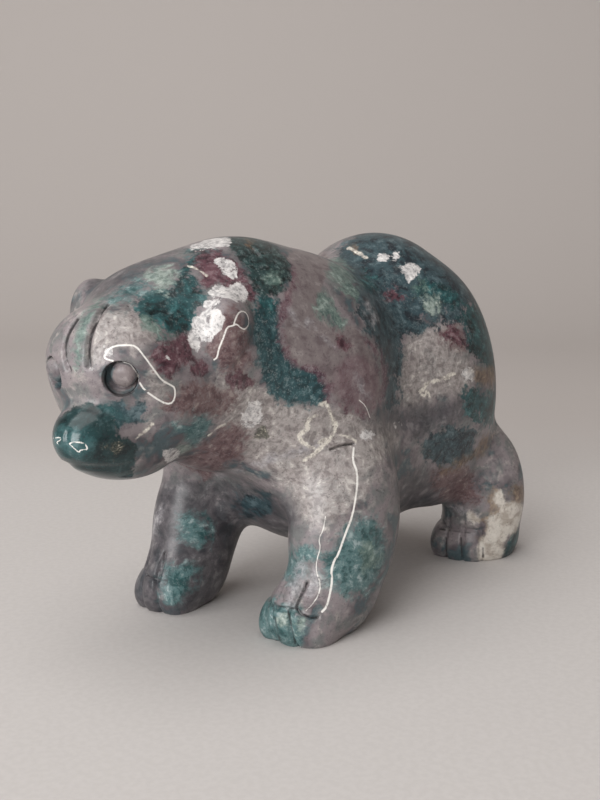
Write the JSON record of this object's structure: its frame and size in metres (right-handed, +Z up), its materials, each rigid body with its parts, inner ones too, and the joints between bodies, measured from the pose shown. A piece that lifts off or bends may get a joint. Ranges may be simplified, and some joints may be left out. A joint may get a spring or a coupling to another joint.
{
  "type": "jasper bear carving",
  "caption": "Carved and polished jasper bear, walking on all fours with its head turned a little to its left; a solid stone ornament that stands on its flat soles.",
  "frame": {"origin": "on the ground, under the middle of the carving's outline", "axes": "the bear faces -Y, its left side is +X, +Z is up"},
  "size_m": [0.0521, 0.1271, 0.0752],
  "materials": {
    "jasper": "polished jasper, mottled mauve-grey, teal and white"
  },
  "bodies": {
    "root": {"bear": "jasper"}
  },
  "joints": []
}
